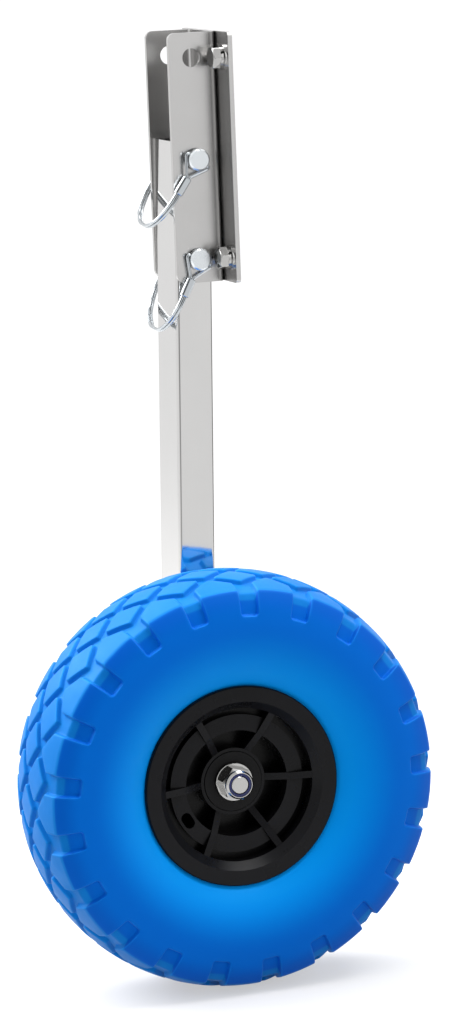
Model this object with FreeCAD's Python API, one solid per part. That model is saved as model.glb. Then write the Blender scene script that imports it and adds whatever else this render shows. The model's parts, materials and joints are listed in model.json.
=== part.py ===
import FreeCAD, Part
import math
import os

# Launching wheel for a small boat: a pinned leg in a transom bracket, with a foam-filled wheel on its foot.
# Millimetres. +Z runs up the bracket, +X points into the transom and the wheel stands off towards -Y.
# The origin is the middle of the four transom bolts, on the face that lies against the transom.

# Bracket
bracket_height = 160.0
plate_width = 86.0
plate_thickness = 3.0
plate_corner = 2.5
sheet = 3.0
channel_gap = 39.0
cheek_depth = 33.0
fold_radius = 5.5
cheek_corner_top = 4.5
cheek_corner_bottom = 6.0
pin_hole_pitch = 0.4 * bracket_height
pin_hole_from_edge = 15.3
pin_clearance = 1.0

# Pins, each with its sprung wire bail and crimped ferrule
pin_d = 10.0
pin_head_d = 14.0
pin_head_length = 4.5
pin_chamfer = 1.0
pin_tip_chamfer = 2.5
pin_bearing_gap = 0.1
pin_bearing_deg = 32.0
upper_head_stand_off = 3.0
lower_head_stand_off = 1.2
upper_bail_deg = 35.0
lower_bail_deg = 27.0
wire_d = 2.0
wire_sides = 12
wire_pair_gap = 0.1
wire_hole_d = 2.3
wire_hole_from_cheek_side = 1.7
wire_overlap_in_head = 4.0
wire_bend = 1.5
strand_bend = 4.0
wire_past_head = 2.0
strands_meet_before_ferrule = 1.0
bail_reach = 51.8
bail_width = 55.0
bow_shares = [(0.08, 0.86), (0.31, 1.0), (0.62, 0.975), (0.88, 0.81), (1.0, 0.56)]
bow_bend = 20.0
bow_past_ferrule = 6.2
eye_clearance = 0.35
eye_neck_radii = 2.4
eye_shoulder_radii = 1.1
eye_neck_bend = 6.0
eye_bend_radii = 0.92
tip_past_eye = 3.0
ferrule_length = 12.0
ferrule_wall = 1.0
ferrule_chamfer = 0.3
ferrule_from_pin = 13.8

# Transom bolts
transom_bolt_d = 8.0
transom_bolt_across_flats = 13.0
transom_bolt_head = 5.3
transom_thread_d = 7.6
transom_bolt_past_plate = 1.8
transom_head_turn_deg = 12.0
head_chamfer_share = 0.98
bolt_end_chamfer = 0.7
transom_bolt_from_end = 16.0
transom_bolt_spacing = 68.0
plate_hole_clearance = 0.5
flat_washer_d = 16.0
flat_washer_thickness = 1.6
spring_washer_d = 13.0
spring_washer_thickness = 2.2
spring_washer_slot = 1.6
spring_washer_slot_lean_deg = 20.0
spring_washer_slot_turn_deg = 60.0
washer_bore_clearance = 0.2

# Leg tube
leg_depth = 25.0
leg_width = 38.0
leg_wall = 2.0
leg_corner = 2.5
leg_inner_corner_least = 0.3
leg_hole_from_aft = 13.6
leg_above_hinge = 12.0
lower_pin_to_axle = 330.0
leg_below_axle = 18.0

# Axle
axle_d = 12.0
axle_hole_clearance = 0.25
axle_across_flats = 19.0
axle_head = 7.5
axle_below_collar = 0.3
axle_head_turn_deg = 12.0
axle_nut_turn_deg = 49.0
washer_d = 25.0
washer_thickness = 2.5
washer_chamfer = 0.375
nut_hex_height = 7.0
nut_collar_d = 18.5
nut_collar_height = 3.4
nut_collar_chamfer = 1.0
insert_d = 15.6
insert_height = 2.6
insert_below_collar = 0.4
sleeve_d = 16.0
sleeve_bore_clearance = 0.15
sleeve_end_play = 0.3

# Wheel
tyre_d = 270.0
tyre_width = 88.0
tyre_gap_to_leg = 3.0
rim_flange_d = 130.0
rim_width = 64.0
rim_flange_edge = 3.5
rim_edge_round = 0.7
rim_lip_outer_d = 110.0
rim_lip_inner_d = 100.0
rim_lip_depth = 5.5
barrel_d = 103.0
barrel_shoulder = 7.0
ring_outer_d = 90.0
ring_inner_d = 69.0
ring_depth = 10.5
ring_groove_depth = 15.5
rim_wall = 3.5
boss_d = 43.5
boss_lip = 2.0
boss_depth = 17.5
hub_step = 0.5
spoke_count = 6
spoke_thickness = 4.5
spoke_phase_deg = 3.0
spoke_knee_r = 36.0
spoke_knee_depth = 9.3
spoke_into_lip = 0.5
valve_hole_width = 7.0
valve_hole_length = 11.0
valve_hole_deg = 213.0
bush_flange = 3.0
bush_flange_gap = 0.45
bush_body_d = 25.0
bush_length = 15.0
bush_running_gap = 0.15

# Tread
lug_count = 21
lug_phase_deg = 11.7
lug_share = 0.67
groove_depth = 3.2
groove_width = 5.0
diamond_slice_share = 0.98
diamond_rows_half_width = 29.0
shoulder_drop = 6.5
shoulder_inset = 7.0
side_wall_at_shoulder = 1.5
notch_end_r = 112.5
side_bulge_r = 101.0
belly_in_r = 3.0
belly_in_y = 3.6
bead_lip = 2.0

# Lengths closer than this count as one
same = 1e-6

# Worked-out sizes
channel_width = channel_gap + 2.0 * sheet
hole_x = -plate_thickness - cheek_depth + pin_hole_from_edge
cheek_aft_x = -plate_thickness - cheek_depth
web_face_x = -plate_thickness - sheet
pin_hole_d = pin_d + 2.0 * pin_clearance
pin_play = pin_clearance - pin_bearing_gap
pin_shift_x = pin_play * math.sin(math.radians(pin_bearing_deg))
pin_shift_z = pin_play * math.cos(math.radians(pin_bearing_deg))
leg_lean_deg = math.degrees(math.atan2(4.0 * pin_shift_x, pin_hole_pitch))
leg_hole_pitch = math.hypot(pin_hole_pitch, 4.0 * pin_shift_x)
upper_pin_at = FreeCAD.Vector(hole_x + pin_shift_x, 0, -pin_shift_z)
lower_pin_at = FreeCAD.Vector(hole_x - pin_shift_x, 0, -pin_hole_pitch - pin_shift_z)
leg_centre_x = leg_depth / 2.0 - leg_hole_from_aft
axle_z = -leg_hole_pitch - lower_pin_to_axle
leg_near_y = -leg_width / 2.0
wheel_mid_y = leg_near_y - tyre_gap_to_leg - tyre_width / 2.0
rim_half = rim_width / 2.0
hub_near_y = wheel_mid_y - rim_half + boss_depth
hub_far_y = leg_near_y - washer_thickness - sleeve_end_play - hub_step
boss_past_far_rim = hub_far_y - wheel_mid_y - rim_half
lug_pitch_deg = 360.0 / lug_count
lug_cutter_from_r = 0.35 * tyre_d
lug_cutter_length = 0.4 * tyre_d
Y_AXIS = FreeCAD.Vector(0, 1, 0)
ORIGIN = FreeCAD.Vector(0, 0, 0)


def cylinder_y(diameter, y_start, y_end, x=0.0, z=0.0):
    """A round bar along Y."""
    start = FreeCAD.Vector(x, y_start, z)
    return Part.makeCylinder(diameter / 2.0, y_end - y_start, start, Y_AXIS)


def ring_y(outer, inner, y_start, y_end):
    """A washer or sleeve along Y."""
    return cylinder_y(outer, y_start, y_end).cut(cylinder_y(inner, y_start, y_end))


def face_of(points):
    """A flat face with straight sides through the points."""
    corners = [FreeCAD.Vector(*p) for p in points]
    return Part.Face(Part.makePolygon(corners + [corners[0]]))


def turned_section(profile, degrees=360.0):
    """Revolves (radius, y) points about the Y axis."""
    return face_of([(r, y, 0) for r, y in profile]).revolve(ORIGIN, Y_AXIS, degrees)


def spun(shape, degrees):
    """The shape turned about the Y axis, counting from +X up towards +Z."""
    copy = shape.copy()
    copy.rotate(ORIGIN, Y_AXIS, -degrees)
    return copy


def hexagon_prism(across_flats, start, direction, length, turn_deg):
    """A hexagon bar with the corners of its outer end turned off at 30 degrees, as on a bolt head."""
    corner_r = across_flats / math.sqrt(3.0)
    corners = []
    for i in range(6):
        a = math.radians(60.0 * i + turn_deg)
        corners.append(FreeCAD.Vector(corner_r * math.cos(a), corner_r * math.sin(a), 0))
    outline = Part.makePolygon(corners + [corners[0]])
    bar = Part.Face(outline).extrude(FreeCAD.Vector(0, 0, length))
    top_r = head_chamfer_share * across_flats / 2.0
    base_r = top_r + length * math.tan(math.radians(60.0))
    bar = bar.common(Part.makeCone(base_r, top_r, length))
    bar.Placement = FreeCAD.Placement(start, FreeCAD.Rotation(FreeCAD.Vector(0, 0, 1), direction))
    return bar


def rounded_edges(solid, radius, wanted):
    """Fillets the edges that the test picks."""
    edges = [e for e in solid.Edges if wanted(e)]
    return solid.makeFillet(radius, edges)


def vertical(edge):
    """True for a straight edge along Z."""
    if len(edge.Vertexes) != 2:
        return False
    a, b = (v.Point for v in edge.Vertexes)
    return math.hypot(a.x - b.x, a.y - b.y) < same


def bracket_bolt_places():
    """The four transom bolts as (y, z)."""
    half_y = transom_bolt_spacing / 2.0
    half_z = bracket_height / 2.0 - transom_bolt_from_end
    return [(y, z) for y in (-half_y, half_y) for z in (-half_z, half_z)]


def base_plate():
    """The flat plate that lies against the transom."""
    size = (plate_thickness, plate_width, bracket_height)
    corner = FreeCAD.Vector(-plate_thickness, -plate_width / 2.0, -bracket_height / 2.0)
    plate = Part.makeBox(*size, corner)
    plate = rounded_edges(plate, plate_corner, lambda e: e.BoundBox.XLength > 0.5 * plate_thickness)
    hole_d = transom_bolt_d + 2.0 * plate_hole_clearance
    start_x = -plate_thickness
    for y, z in bracket_bolt_places():
        start = FreeCAD.Vector(start_x, y, z)
        hole = Part.makeCylinder(hole_d / 2.0, plate_thickness, start, FreeCAD.Vector(1, 0, 0))
        plate = plate.cut(hole)
    return plate


def cheek_cutter():
    """The outline of a cheek seen along Y, as a block wide enough for both cheeks."""
    top = bracket_height / 2.0
    outline = [
        (cheek_aft_x, 0, -top),
        (-plate_thickness, 0, -top),
        (-plate_thickness, 0, top),
        (cheek_aft_x, 0, top),
    ]
    block = face_of(outline).extrude(FreeCAD.Vector(0, plate_width, 0))
    block.translate(FreeCAD.Vector(0, -plate_width / 2.0, 0))

    def aft_corner(upper):
        def test(edge):
            a, b = edge.Vertexes[0].Point, edge.Vertexes[-1].Point
            at_aft = abs(a.x - cheek_aft_x) < same and abs(b.x - cheek_aft_x) < same
            level = abs(a.z - b.z) < same and (a.z > 0) == upper
            return at_aft and level
        return test

    block = rounded_edges(block, cheek_corner_top, aft_corner(True))
    return rounded_edges(block, cheek_corner_bottom, aft_corner(False))


def channel():
    """The folded U of sheet: two cheeks joined by a web that is welded to the plate."""
    half = channel_width / 2.0
    low = FreeCAD.Vector(cheek_aft_x, -half, -bracket_height / 2.0)
    block = Part.makeBox(cheek_depth, channel_width, bracket_height, low)
    block = rounded_edges(
        block, fold_radius, lambda e: vertical(e) and abs(e.Vertexes[0].Point.x + plate_thickness) < same
    )
    inner_low = FreeCAD.Vector(cheek_aft_x, -channel_gap / 2.0, -bracket_height / 2.0)
    inner = Part.makeBox(cheek_depth - sheet, channel_gap, bracket_height, inner_low)
    inner = rounded_edges(
        inner, fold_radius - sheet, lambda e: vertical(e) and abs(e.Vertexes[0].Point.x - web_face_x) < same
    )
    folded = block.cut(inner).common(cheek_cutter())
    for z in (-pin_hole_pitch, 0.0, pin_hole_pitch):
        folded = folded.cut(cylinder_y(pin_hole_d, -half, half, hole_x, z))
    return folded


def in_leg_frame(shape):
    """Moves a shape from the leg's own frame, at its hinge hole, to the part's frame."""
    placed = shape.copy()
    placed.rotate(ORIGIN, Y_AXIS, leg_lean_deg)
    placed.translate(FreeCAD.Vector(hole_x + 2.0 * pin_shift_x, 0, -2.0 * pin_shift_z))
    return placed


def leg_tube():
    """The rectangular tube, drilled for both pins and for the axle."""
    top = leg_above_hinge
    bottom = axle_z - leg_below_axle
    low = FreeCAD.Vector(-leg_hole_from_aft, -leg_width / 2.0, bottom)
    outer = Part.makeBox(leg_depth, leg_width, top - bottom, low)
    outer = rounded_edges(outer, leg_corner, vertical)
    inner_low = low + FreeCAD.Vector(leg_wall, leg_wall, 0)
    inner = Part.makeBox(leg_depth - 2.0 * leg_wall, leg_width - 2.0 * leg_wall, top - bottom, inner_low)
    inner = rounded_edges(inner, max(leg_corner - leg_wall, leg_inner_corner_least), vertical)
    tube = outer.cut(inner)
    half = leg_width / 2.0
    for z in (0.0, -leg_hole_pitch):
        tube = tube.cut(cylinder_y(pin_hole_d, -half, half, 0.0, z))
    axle_hole_d = axle_d + 2.0 * axle_hole_clearance
    return tube.cut(cylinder_y(axle_hole_d, -half, half, leg_centre_x, axle_z))


def wheel_frame(shape):
    """Moves a shape from the wheel's frame, at the axle, to the part's frame."""
    placed = shape.copy()
    placed.translate(FreeCAD.Vector(leg_centre_x, 0, axle_z))
    return in_leg_frame(placed)


def round_section(diameter, centre, direction):
    """A regular polygon in the wire's circle, which keeps the bail's surfaces few."""
    turn = FreeCAD.Rotation(FreeCAD.Vector(0, 0, 1), direction)
    corner = FreeCAD.Vector(diameter / 2.0, 0, 0)
    steps = [FreeCAD.Rotation(FreeCAD.Vector(0, 0, 1), 360.0 * i / wire_sides) for i in range(wire_sides)]
    corners = [centre + turn.multVec(step.multVec(corner)) for step in steps]
    return Part.makePolygon(corners + [corners[0]])


def bent_wire(points, radii, diameter):
    """A round wire through straight runs joined by tangent arcs."""
    places = [FreeCAD.Vector(*p) for p in points]
    edges = []
    start = places[0]
    for before, corner, after, radius in zip(places, places[1:], places[2:], radii):
        into = (corner - before).normalize()
        out = (after - corner).normalize()
        turn = into.getAngle(out)
        trim = radius * math.tan(turn / 2.0)
        arc_start = corner - into * trim
        arc_end = corner + out * trim
        bisector = (out - into).normalize()
        arc_middle = corner + bisector * (radius / math.cos(turn / 2.0) - radius)
        edges.append(Part.LineSegment(start, arc_start).toShape())
        edges.append(Part.Arc(arc_start, arc_middle, arc_end).toShape())
        start = arc_end
    edges.append(Part.LineSegment(start, places[-1]).toShape())
    path = Part.Wire(edges)
    section = round_section(diameter, places[0], places[1] - places[0])
    wire = path.makePipeShell([section], True, False)
    swept = wire.Volume / (math.pi * diameter ** 2 / 4.0 * path.Length)
    print("bail wire", round(path.Length, 1), "mm, volume over section times length", round(swept, 4))
    return wire


def in_pin_frame(shape, pin_at, neck_y, bail_deg):
    """Moves a shape from the pin's frame, at its cross hole, to the part's frame."""
    placed = shape.copy()
    placed.rotate(ORIGIN, Y_AXIS, bail_deg)
    placed.translate(FreeCAD.Vector(pin_at.x, neck_y, pin_at.z))
    return placed


def neck_y_of(stand_off):
    """The cross hole's place along Y for a head that stands off the near cheek."""
    return -channel_width / 2.0 - stand_off - wire_hole_from_cheek_side


def pin_body():
    """A headed pin in its own frame: cross hole at the origin, tip towards +Y."""
    head_start = wire_hole_from_cheek_side - pin_head_length
    head = cylinder_y(pin_head_d, head_start, wire_hole_from_cheek_side)
    head = head.makeChamfer(pin_chamfer, [e for e in head.Edges if e.BoundBox.YMax < head_start + same])
    tip = bail_width + wire_d / 2.0 + tip_past_eye
    shank = cylinder_y(pin_d, wire_hole_from_cheek_side, tip)
    shank = shank.makeChamfer(pin_tip_chamfer, [e for e in shank.Edges if e.BoundBox.YMin > tip - same])
    cross = Part.makeCylinder(
        wire_hole_d / 2.0, 2.0 * pin_head_d, FreeCAD.Vector(-pin_head_d, 0, 0), FreeCAD.Vector(1, 0, 0)
    )
    return head.fuse(shank).removeSplitter().cut(cross)


def bail():
    """The sprung wire in the pin's frame: both ends in the head, a bow and an eye over the tip."""
    pair = (wire_d + wire_pair_gap) / 2.0
    leave = pin_head_d / 2.0 + wire_d / 2.0 + wire_past_head
    eye = pin_d / 2.0 + eye_clearance + wire_d / 2.0
    ferrule_end = ferrule_from_pin + ferrule_length
    bow = [(pair, wide * bail_width, -down * bail_reach) for wide, down in bow_shares]
    strand = [
        (pin_head_d / 2.0 - wire_overlap_in_head, 0, 0),
        (leave, 0, 0),
        (pair, 0, -ferrule_from_pin + strands_meet_before_ferrule),
        (pair, 0, -ferrule_end - bow_past_ferrule),
        *bow,
        (pair, bail_width, -eye_neck_radii * eye),
        (eye, bail_width, -eye_shoulder_radii * eye),
        (eye, bail_width, eye),
    ]
    bow_bends = [bow_bend] * (len(bow) + 1)
    eye_bends = [eye_neck_bend, strand_bend, eye_bend_radii * eye]
    bends = [wire_bend, strand_bend] + bow_bends + eye_bends
    other = [(-x, y, z) for x, y, z in reversed(strand)]
    return bent_wire(strand + other, bends + list(reversed(bends)), wire_d)


def ferrule():
    """The crimped sleeve round both strands, in the pin's frame."""
    half_pair = (wire_d + wire_pair_gap) / 2.0
    outer_r = wire_d / 2.0 + ferrule_wall
    wide = 2.0 * half_pair
    z_low = -ferrule_from_pin - ferrule_length

    def obround(radius):
        slab = Part.makeBox(wide, 2.0 * radius, ferrule_length, FreeCAD.Vector(-half_pair, -radius, z_low))
        solid = slab
        for x in (-half_pair, half_pair):
            solid = solid.fuse(Part.makeCylinder(radius, ferrule_length, FreeCAD.Vector(x, 0, z_low)))
        return solid.removeSplitter()

    sleeve = obround(outer_r)
    ends = [e for e in sleeve.Edges if e.BoundBox.ZLength < same]
    sleeve = sleeve.makeChamfer(ferrule_chamfer, ends)
    return sleeve.cut(obround(wire_d / 2.0))


def transom_bolt(y, z):
    """A hexagon bolt through the plate and its two washers, with its head outside."""
    head_x = -plate_thickness - flat_washer_thickness - spring_washer_thickness
    start = FreeCAD.Vector(head_x, y, z)
    inward = FreeCAD.Vector(1, 0, 0)
    outward = -inward
    shank = Part.makeCylinder(transom_bolt_d / 2.0, -head_x, start, inward)
    back = FreeCAD.Vector(0, y, z)
    thread = Part.makeCylinder(transom_thread_d / 2.0, transom_bolt_past_plate, back, inward)
    thread = thread.makeChamfer(bolt_end_chamfer, [e for e in thread.Edges if e.BoundBox.XMin > 0])
    head = hexagon_prism(
        transom_bolt_across_flats, start, outward, transom_bolt_head, transom_head_turn_deg
    )
    return head.multiFuse([shank, thread]).removeSplitter()


def flat_washer(y, z):
    """The plain washer on the plate."""
    start = FreeCAD.Vector(-plate_thickness - flat_washer_thickness, y, z)
    along = FreeCAD.Vector(1, 0, 0)
    disc = Part.makeCylinder(flat_washer_d / 2.0, flat_washer_thickness, start, along)
    bore_r = transom_bolt_d / 2.0 + washer_bore_clearance
    return disc.cut(Part.makeCylinder(bore_r, flat_washer_thickness, start, along))


def spring_washer(y, z):
    """The split washer under the bolt's head."""
    start_x = -plate_thickness - flat_washer_thickness - spring_washer_thickness
    start = FreeCAD.Vector(start_x, y, z)
    along = FreeCAD.Vector(1, 0, 0)
    disc = Part.makeCylinder(spring_washer_d / 2.0, spring_washer_thickness, start, along)
    bore_r = transom_bolt_d / 2.0 + washer_bore_clearance
    disc = disc.cut(Part.makeCylinder(bore_r, spring_washer_thickness, start, along))
    slot = Part.makeBox(2.0 * spring_washer_thickness, spring_washer_slot, spring_washer_d)
    slot.translate(FreeCAD.Vector(-spring_washer_thickness / 2.0, -spring_washer_slot / 2.0, 0))
    hinge = FreeCAD.Vector(spring_washer_thickness / 2.0, 0, 0)
    slot.rotate(hinge, FreeCAD.Vector(0, 0, 1), spring_washer_slot_lean_deg)
    slot.rotate(ORIGIN, FreeCAD.Vector(1, 0, 0), spring_washer_slot_turn_deg)
    slot.translate(start)
    return disc.cut(slot)


def at_every_bolt(piece):
    """The same fastener at each of the four transom holes, as one group."""
    return Part.makeCompound([piece(y, z) for y, z in bracket_bolt_places()])


def axle_stack():
    """Places along Y where each piece on the axle ends, from the leg's far side to the nut."""
    far_washer = leg_width / 2.0 + washer_thickness
    near_washer = leg_near_y - washer_thickness
    sleeve_end = hub_near_y - hub_step - sleeve_end_play
    outer_washer = sleeve_end - washer_thickness
    nut_end = outer_washer - nut_hex_height - nut_collar_height
    return far_washer, near_washer, sleeve_end, outer_washer, nut_end


far_washer_y, near_washer_y, sleeve_end_y, outer_washer_y, nut_end_y = axle_stack()


def axle_bolt():
    """The bolt that is the axle, with its head on the leg's far side."""
    end_y = nut_end_y + axle_below_collar
    shank = cylinder_y(axle_d, end_y, far_washer_y)
    shank = shank.makeChamfer(bolt_end_chamfer, [e for e in shank.Edges if e.BoundBox.YMax < end_y + same])
    start = FreeCAD.Vector(0, far_washer_y, 0)
    head = hexagon_prism(axle_across_flats, start, Y_AXIS, axle_head, axle_head_turn_deg)
    return head.fuse(shank).removeSplitter()


def axle_nut():
    """The locking nut: a hexagon with a round collar that holds the nylon ring."""
    start = FreeCAD.Vector(0, outer_washer_y, 0)
    hexagon = hexagon_prism(axle_across_flats, start, -Y_AXIS, nut_hex_height, axle_nut_turn_deg)
    collar_y = outer_washer_y - nut_hex_height
    collar = cylinder_y(nut_collar_d, nut_end_y, collar_y)
    outer_edge = [e for e in collar.Edges if e.BoundBox.YMax < nut_end_y + same]
    collar = collar.makeChamfer(nut_collar_chamfer, outer_edge)
    nut = hexagon.fuse(collar).removeSplitter()
    nut = nut.cut(cylinder_y(axle_d, nut_end_y, outer_washer_y))
    return nut.cut(cylinder_y(insert_d, nut_end_y, nut_end_y + insert_height))


def nylon_insert():
    """The nylon ring that grips the axle's thread."""
    return ring_y(insert_d, axle_d, nut_end_y + insert_below_collar, nut_end_y + insert_height)


def axle_washer(y_start):
    """A plain washer on the axle."""
    bore = axle_d + 2.0 * washer_bore_clearance
    washer = ring_y(washer_d, bore, y_start, y_start + washer_thickness)
    rims = [e for e in washer.Edges if abs(e.BoundBox.XLength - washer_d) < same]
    return washer.makeChamfer(washer_chamfer, rims)


def hub_sleeve():
    """The steel sleeve that the bolt clamps and the bushes run on."""
    bore = axle_d + 2.0 * sleeve_bore_clearance
    return ring_y(sleeve_d, bore, sleeve_end_y, near_washer_y)


def rim_half_solid(boss_face):
    """One half of the moulded rim in the wheel's frame, its open side towards -Y and its joint at y = 0.

    Depths are measured from the plane of the flange's face, so depth 0 is at y = -rim_half."""
    flange_r = rim_flange_d / 2.0
    lip_out = rim_lip_outer_d / 2.0
    lip_in = rim_lip_inner_d / 2.0
    barrel_r = barrel_d / 2.0
    ring_out = ring_outer_d / 2.0
    ring_in = ring_inner_d / 2.0
    boss_r = boss_d / 2.0
    recess_r = boss_r - boss_lip
    body_r = bush_body_d / 2.0
    depths = [
        (boss_r, boss_face),
        (recess_r, boss_face),
        (recess_r, boss_face + bush_flange),
        (body_r, boss_face + bush_flange),
        (body_r, rim_half),
        (barrel_r, rim_half),
        (barrel_r, barrel_shoulder),
        (flange_r, rim_flange_edge),
        (flange_r, rim_edge_round),
        (flange_r - rim_edge_round, 0.0),
        (lip_out, 0.0),
        (lip_in, rim_lip_depth),
        (lip_in, ring_groove_depth),
        (ring_out, ring_groove_depth),
        (ring_out, ring_depth),
        (ring_in, ring_depth),
        (ring_in, rim_half - rim_wall),
        (boss_r, rim_half - rim_wall),
    ]
    body = turned_section([(r, depth - rim_half) for r, depth in depths])
    spoke = face_of([
        (boss_r - boss_lip / 2.0, boss_depth + hub_step - rim_half, 0),
        (spoke_knee_r, spoke_knee_depth - rim_half, 0),
        (lip_in + spoke_into_lip, rim_lip_depth - rim_half, 0),
        (lip_in + spoke_into_lip, ring_groove_depth - rim_half, 0),
        (ring_out - rim_wall, -rim_wall, 0),
        (boss_r - boss_lip / 2.0, -rim_wall, 0),
    ]).extrude(FreeCAD.Vector(0, 0, spoke_thickness))
    spoke.translate(FreeCAD.Vector(0, 0, -spoke_thickness / 2.0))
    spokes = [spun(spoke, spoke_phase_deg + 360.0 / spoke_count * i) for i in range(spoke_count)]
    half = body.multiFuse(spokes).removeSplitter()
    hollow_in = ring_in + rim_wall
    hollow_out = barrel_r - rim_wall
    hollow = turned_section([
        (hollow_in, 0.0),
        (hollow_in, ring_depth + rim_wall - rim_half),
        (ring_out - rim_wall, ring_depth + rim_wall - rim_half),
        (ring_out - rim_wall, ring_groove_depth + rim_wall - rim_half),
        (hollow_out, ring_groove_depth + rim_wall - rim_half),
        (hollow_out, 0.0),
    ])
    return half.cut(hollow)


def valve_hole():
    """The long hole through the near half's inner ring."""
    middle_r = (ring_outer_d + ring_inner_d) / 4.0
    straight = valve_hole_length - valve_hole_width
    slot = Part.makeBox(valve_hole_width, rim_half, straight)
    slot.translate(FreeCAD.Vector(-valve_hole_width / 2.0, -rim_half, -straight / 2.0))
    for z in (-straight / 2.0, straight / 2.0):
        slot = slot.fuse(cylinder_y(valve_hole_width, -rim_half, 0, 0, z))
    slot.translate(FreeCAD.Vector(middle_r, 0, 0))
    return spun(slot, valve_hole_deg)


def rim_near():
    """The half of the rim on the side away from the leg."""
    half = rim_half_solid(boss_depth).cut(valve_hole())
    half.translate(FreeCAD.Vector(0, wheel_mid_y, 0))
    return half


def rim_far():
    """The half of the rim on the leg's side, with the longer boss."""
    half = rim_half_solid(-boss_past_far_rim)
    half = half.mirror(ORIGIN, Y_AXIS)
    half.translate(FreeCAD.Vector(0, wheel_mid_y, 0))
    return half


def bush(side, face_y):
    """A flanged bush pressed into the rim's boss, on the near side (-1) or the leg's side (1)."""
    bore = sleeve_d + 2.0 * bush_running_gap
    flange_d = boss_d - 2.0 * boss_lip - 2.0 * bush_flange_gap
    flange = ring_y(flange_d, bore, 0, bush_flange + hub_step)
    flange.translate(FreeCAD.Vector(0, -hub_step, 0))
    body = ring_y(bush_body_d, bore, 0, bush_length)
    whole = flange.fuse(body).removeSplitter()
    if side > 0:
        whole = whole.mirror(ORIGIN, Y_AXIS)
    whole.translate(FreeCAD.Vector(0, face_y, 0))
    return whole


def arc(points):
    """An arc through three (radius, y) points."""
    return Part.Arc(*[FreeCAD.Vector(r, y, 0) for r, y in points]).toShape()


def line(a, b):
    """A straight edge between two (radius, y) points."""
    return Part.LineSegment(FreeCAD.Vector(a[0], a[1], 0), FreeCAD.Vector(b[0], b[1], 0)).toShape()


def tread_levels(depth):
    """The radius of the tread's crown and the place of its shoulder, this far under the lugs."""
    crown_r = tyre_d / 2.0 - depth
    shoulder = (crown_r - shoulder_drop, tyre_width / 2.0 - shoulder_inset - depth / 2.0)
    return crown_r, shoulder


def side_point(r, inset=0.0):
    """A point on the outer side wall between its bulge and the shoulder."""
    half = tyre_width / 2.0
    shoulder_r = tyre_d / 2.0 - shoulder_drop
    share = (r - side_bulge_r) / (shoulder_r - side_bulge_r)
    return (r, half - inset - (shoulder_inset - side_wall_at_shoulder) * share ** 2)


def tyre_carcass():
    """The tyre without its lugs: seat, side walls and the floor of the tread."""
    barrel_r = barrel_d / 2.0
    flange_r = rim_flange_d / 2.0
    seat_y = rim_half - barrel_shoulder
    flange_y = rim_half - rim_flange_edge
    bead = (flange_r + bead_lip, rim_half - bead_lip / 2.0)
    bulge = (side_bulge_r, tyre_width / 2.0)
    belly = (0.5 * (bead[0] + bulge[0]) - belly_in_r, tyre_width / 2.0 - belly_in_y)
    notch = side_point(notch_end_r)
    notch_floor = side_point(notch_end_r, groove_depth)
    crown_r, shoulder = tread_levels(groove_depth)
    upper = side_point(0.5 * (side_bulge_r + notch_end_r))

    def mirrored(p):
        return (p[0], -p[1])

    right = [
        line((barrel_r, -seat_y), (barrel_r, seat_y)),
        line((barrel_r, seat_y), (flange_r, flange_y)),
        line((flange_r, flange_y), bead),
        arc([bead, belly, bulge]),
        arc([bulge, upper, notch]),
        line(notch, notch_floor),
        line(notch_floor, shoulder),
        arc([shoulder, (crown_r, 0.0), mirrored(shoulder)]),
    ]
    left = [
        line(mirrored(shoulder), mirrored(notch_floor)),
        line(mirrored(notch_floor), mirrored(notch)),
        arc([mirrored(notch), mirrored(upper), mirrored(bulge)]),
        arc([mirrored(bulge), mirrored(belly), mirrored(bead)]),
        line(mirrored(bead), (flange_r, -flange_y)),
        line((flange_r, -flange_y), (barrel_r, -seat_y)),
    ]
    section = Part.Face(Part.Wire(right + left))
    return section.revolve(ORIGIN, Y_AXIS, 360)


def lug_layer(degrees):
    """A slice of the band between the tread's floor and its outer surface, centred on +X."""
    crown_r, shoulder = tread_levels(0.0)
    floor_r, floor_shoulder = tread_levels(groove_depth)
    notch = side_point(notch_end_r)
    notch_floor = side_point(notch_end_r, groove_depth)
    middle = side_point(0.5 * (notch_end_r + shoulder[0]))

    def mirrored(p):
        return (p[0], -p[1])

    edges = [
        arc([mirrored(shoulder), (crown_r, 0.0), shoulder]),
        arc([shoulder, middle, notch]),
        line(notch, notch_floor),
        line(notch_floor, floor_shoulder),
        arc([floor_shoulder, (floor_r, 0.0), mirrored(floor_shoulder)]),
        line(mirrored(floor_shoulder), mirrored(notch_floor)),
        line(mirrored(notch_floor), mirrored(notch)),
        arc([mirrored(notch), mirrored(middle), mirrored(shoulder)]),
    ]
    layer = Part.Face(Part.Wire(edges)).revolve(ORIGIN, Y_AXIS, degrees)
    layer.rotate(ORIGIN, Y_AXIS, -degrees / 2.0)
    return layer


def radial_prism(outline):
    """A prism along +X whose section is an outline of (distance round the tread, y) points."""
    section = face_of([(lug_cutter_from_r, y, u) for u, y in outline])
    return section.extrude(FreeCAD.Vector(lug_cutter_length, 0, 0))


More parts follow.
